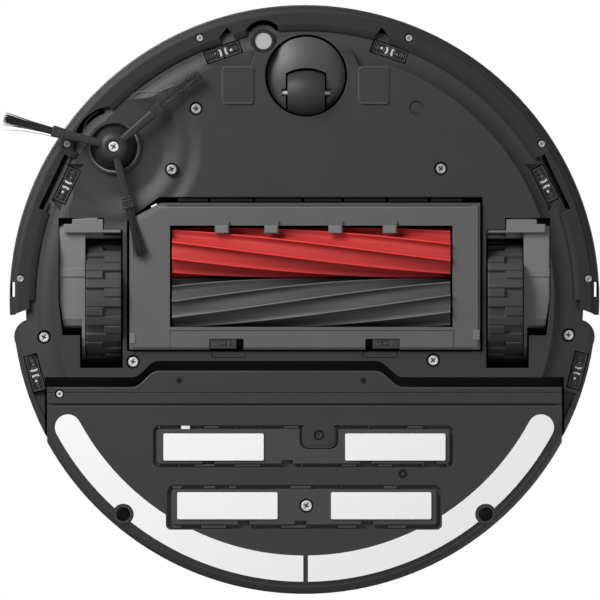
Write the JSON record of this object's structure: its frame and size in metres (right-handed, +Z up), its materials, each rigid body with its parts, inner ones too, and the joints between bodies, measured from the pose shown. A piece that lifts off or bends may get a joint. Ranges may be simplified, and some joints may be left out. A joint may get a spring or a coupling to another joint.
{
  "type": "robot vacuum",
  "caption": "Round robot vacuum with a twin-roller head, side brush, caster, sprung wheels, shaking mop plate, sprung bumper and laser turret.",
  "frame": {"origin": "on the floor, straight below the centre of the round body, with the robot standing on its wheels", "axes": "+Z up, -Y is the front (bumper and caster side), +X is the side without the side brush; nodes named left are at -X and nodes named right at +X"},
  "size_m": [0.3592, 0.3536, 0.0965],
  "materials": {
    "shell_dark": null,
    "deck_dark": null,
    "bumper_dark": null,
    "window_black": null,
    "sensor_black": null,
    "smoky_window": null,
    "screw_steel": null,
    "mesh_silver": null,
    "contact_metal": null,
    "battery_pack": null,
    "circuit_board": null,
    "motor_metal": null,
    "inner_black": null,
    "caster_grey": null,
    "caster_tread": null,
    "brush_plastic": null,
    "bristle": null,
    "gearbox_grey": null,
    "hub_grey": null,
    "tyre_rubber": null,
    "housing_black": null,
    "cover_grey": null,
    "latch_dark": null,
    "roller_red": null,
    "roller_grey": null,
    "mop_dark": null,
    "bar_dark": null,
    "hook_white": null,
    "filter_white": null,
    "bin_smoke": null,
    "tank_smoke": null,
    "button_grey": null,
    "button_silver": null
  },
  "bodies": {
    "chassis": {"bottom_shell": "shell_dark", "upper_shell": "deck_dark", "chassis_screws": "screw_steel", "cliff_windows": "smoky_window", "cliff_sensors": "sensor_black", "carpet_sensor_ring": "sensor_black", "carpet_sensor_mesh": "mesh_silver", "charge_contacts": "contact_metal", "battery": "battery_pack", "main_board": "circuit_board", "side_brush_motor": "motor_metal", "suction_fan": "inner_black", "air_duct": "inner_black", "bumper_switches": "inner_black", "mop_lift_drive": "inner_black", "dustbin": "bin_smoke", "dustbin_filter": "filter_white", "laser_turret": "shell_dark"},
    "bumper_body": {"bumper": "bumper_dark", "bumper_screws": "screw_steel", "bumper_window": "window_black"},
    "caster_swivel_body": {"caster_housing": "caster_grey", "caster_axle": "screw_steel"},
    "caster_wheel_body": {"caster_wheel": "caster_tread"},
    "side_brush": {"brush_hub": "brush_plastic", "brush_bristles": "bristle", "brush_screw": "screw_steel"},
    "left_suspension_arm": {"left_arm": "gearbox_grey", "left_wheel_motor": "motor_metal"},
    "left_wheel": {"left_hub": "hub_grey", "left_tyre": "tyre_rubber"},
    "right_suspension_arm": {"right_arm": "gearbox_grey", "right_wheel_motor": "motor_metal"},
    "right_wheel": {"right_hub": "hub_grey", "right_tyre": "tyre_rubber"},
    "roller_head": {"roller_housing": "housing_black", "roller_motor": "motor_metal"},
    "roller_head_cover": {"roller_cover": "cover_grey"},
    "left_cover_latch": {"left_latch": "latch_dark"},
    "right_cover_latch": {"right_latch": "latch_dark"},
    "front_roller": {"front_roller_core": "roller_red", "front_roller_fins": "roller_red"},
    "rear_roller": {"rear_roller_core": "roller_grey", "rear_roller_fins": "roller_grey"},
    "mop_module": {"mop_plate": "mop_dark", "hook_strips": "hook_white", "mop_screws": "screw_steel", "mop_drive": "inner_black"},
    "front_mop_bar": {"front_bar": "bar_dark", "front_pads": "hook_white"},
    "rear_mop_bar": {"rear_bar": "bar_dark", "rear_pads": "hook_white", "rear_bar_screw": "screw_steel"},
    "lid": {"dust_lid": "deck_dark"},
    "tank": {"water_tank": "tank_smoke"},
    "laser": {"laser_head": "sensor_black"},
    "laser_cap": {"turret_cap": "deck_dark"},
    "spot_key": {"spot_button": "button_grey"},
    "power_key": {"power_button": "button_silver"},
    "home_key": {"home_button": "button_grey"}
  },
  "joints": [
    {"name": "bumper_press", "type": "slide", "parent": "chassis", "child": "bumper_body", "axis": [0, 1, 0], "range_m": [0, 0.003], "stiffness_N_per_m": 300, "springref_m": -0.003},
    {"name": "caster_swivel", "type": "hinge", "parent": "chassis", "child": "caster_swivel_body", "pos_m": [0.001, -0.1347, 0], "axis": [0, 0, 1], "continuous": true},
    {"name": "caster_roll", "type": "hinge", "parent": "caster_swivel_body", "child": "caster_wheel_body", "pos_m": [0.001, -0.1244, 0.0138], "axis": [1, 0, 0], "continuous": true},
    {"name": "side_brush_spin", "type": "hinge", "parent": "chassis", "child": "side_brush", "pos_m": [-0.1144, -0.0919, 0], "axis": [0, 0, 1], "continuous": true},
    {"name": "left_suspension", "type": "hinge", "parent": "chassis", "child": "left_suspension_arm", "pos_m": [-0.129, -0.04, 0.028], "axis": [1, 0, 0], "range_deg": [-22, 0], "stiffness_Nm_per_rad": 0.47, "springref_deg": -44.98},
    {"name": "right_suspension", "type": "hinge", "parent": "chassis", "child": "right_suspension_arm", "pos_m": [0.129, -0.04, 0.028], "axis": [1, 0, 0], "range_deg": [-22, 0], "stiffness_Nm_per_rad": 0.47, "springref_deg": -44.98},
    {"name": "left_wheel_spin", "type": "hinge", "parent": "left_suspension_arm", "child": "left_wheel", "pos_m": [-0.1205, 0.0012, 0.037], "axis": [1, 0, 0], "continuous": true},
    {"name": "right_wheel_spin", "type": "hinge", "parent": "right_suspension_arm", "child": "right_wheel", "pos_m": [0.1205, 0.0012, 0.037], "axis": [1, 0, 0], "continuous": true},
    {"name": "head_lift", "type": "slide", "parent": "chassis", "child": "roller_head", "axis": [0, 0, 1], "range_m": [0, 0.005]},
    {"name": "front_roller_spin", "type": "hinge", "parent": "roller_head", "child": "front_roller", "pos_m": [0.00405, -0.0285, 0.0165], "axis": [1, 0, 0], "continuous": true},
    {"name": "rear_roller_spin", "type": "hinge", "parent": "roller_head", "child": "rear_roller", "pos_m": [0.00405, 0.0019, 0.0165], "axis": [1, 0, 0], "continuous": true},
    {"name": "cover_release", "type": "slide", "parent": "roller_head", "child": "roller_head_cover", "axis": [0, 0, -1], "range_m": [0, 0.03], "deforming": ["brush_bristles"]},
    {"name": "left_latch_squeeze", "type": "slide", "parent": "roller_head_cover", "child": "left_cover_latch", "axis": [1, 0, 0], "range_m": [0, 0.0025], "stiffness_N_per_m": 200, "springref_m": -0.002},
    {"name": "right_latch_squeeze", "type": "slide", "parent": "roller_head_cover", "child": "right_cover_latch", "axis": [-1, 0, 0], "range_m": [0, 0.0025], "stiffness_N_per_m": 200, "springref_m": -0.002},
    {"name": "mop_lift", "type": "slide", "parent": "chassis", "child": "mop_module", "axis": [0, 0, 1], "range_m": [0, 0.005]},
    {"name": "front_bar_shake", "type": "slide", "parent": "mop_module", "child": "front_mop_bar", "axis": [1, 0, 0], "range_m": [-0.0014, 0.0014]},
    {"name": "rear_bar_shake", "type": "slide", "parent": "mop_module", "child": "rear_mop_bar", "axis": [1, 0, 0], "range_m": [-0.0014, 0.0014]},
    {"name": "lid_open", "type": "hinge", "parent": "chassis", "child": "lid", "pos_m": [0, 0.036, 0.0762], "axis": [1, 0, 0], "range_deg": [0, 80]},
    {"name": "tank_pull", "type": "slide", "parent": "chassis", "child": "tank", "axis": [0, 1, 0], "range_m": [0, 0.06]},
    {"name": "laser_spin", "type": "hinge", "parent": "chassis", "child": "laser", "pos_m": [0, -0.022, 0.08], "axis": [0, 0, 1], "continuous": true},
    {"name": "cap_press", "type": "slide", "parent": "chassis", "child": "laser_cap", "axis": [0, 0, -1], "range_m": [0, 0.001], "stiffness_N_per_m": 1500, "springref_m": -0.001},
    {"name": "spot_press", "type": "slide", "parent": "chassis", "child": "spot_key", "axis": [0, 0, -1], "range_m": [0, 0.001], "stiffness_N_per_m": 500, "springref_m": -0.001},
    {"name": "power_press", "type": "slide", "parent": "chassis", "child": "power_key", "axis": [0, 0, -1], "range_m": [0, 0.001], "stiffness_N_per_m": 500, "springref_m": -0.001},
    {"name": "home_press", "type": "slide", "parent": "chassis", "child": "home_key", "axis": [0, 0, -1], "range_m": [0, 0.001], "stiffness_N_per_m": 500, "springref_m": -0.001}
  ],
  "couplings": [
    {"joint": "front_roller_spin", "follows": "rear_roller_spin", "ratio": -1},
    {"joint": "rear_bar_shake", "follows": "front_bar_shake", "ratio": -1}
  ]
}
